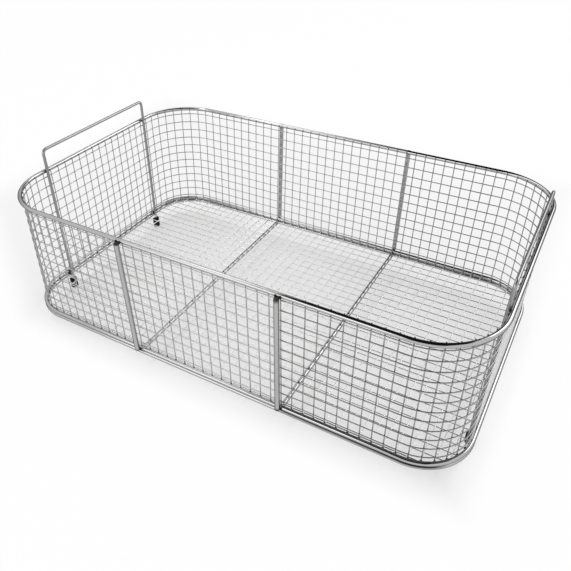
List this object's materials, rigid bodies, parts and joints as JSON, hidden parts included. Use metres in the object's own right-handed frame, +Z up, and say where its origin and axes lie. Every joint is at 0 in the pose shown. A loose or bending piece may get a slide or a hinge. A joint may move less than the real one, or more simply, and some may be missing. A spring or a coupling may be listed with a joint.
{
  "type": "ultrasonic cleaner basket",
  "caption": "Open wire mesh basket with a rounded rectangular rim, doubled base rods, raised end handles and rubber feet, for a cleaning tank.",
  "frame": {"origin": "below the middle of the floor, on the surface that the feet stand on", "axes": "+X along the basket to the right, +Y to the back, +Z up"},
  "size_m": [0.459, 0.2922, 0.1675],
  "materials": {
    "rod_steel": "electropolished round rod",
    "mesh_steel": "electropolished welded wire",
    "foot_rubber": "matt black"
  },
  "bodies": {
    "root": {"top_rim": "rod_steel", "upper_base_ring": "rod_steel", "lower_base_ring": "rod_steel", "left_floor_rib": "rod_steel", "right_floor_rib": "rod_steel", "front_left_post": "rod_steel", "front_right_post": "rod_steel", "back_left_post": "rod_steel", "back_right_post": "rod_steel", "left_handle": "rod_steel", "right_handle": "rod_steel", "middle_mesh_strip": "mesh_steel", "left_end_mesh": "mesh_steel", "right_end_mesh": "mesh_steel", "left_floor_mesh": "mesh_steel", "right_floor_mesh": "mesh_steel", "front_left_foot": "foot_rubber", "front_right_foot": "foot_rubber", "back_left_foot": "foot_rubber", "back_right_foot": "foot_rubber"}
  },
  "joints": []
}
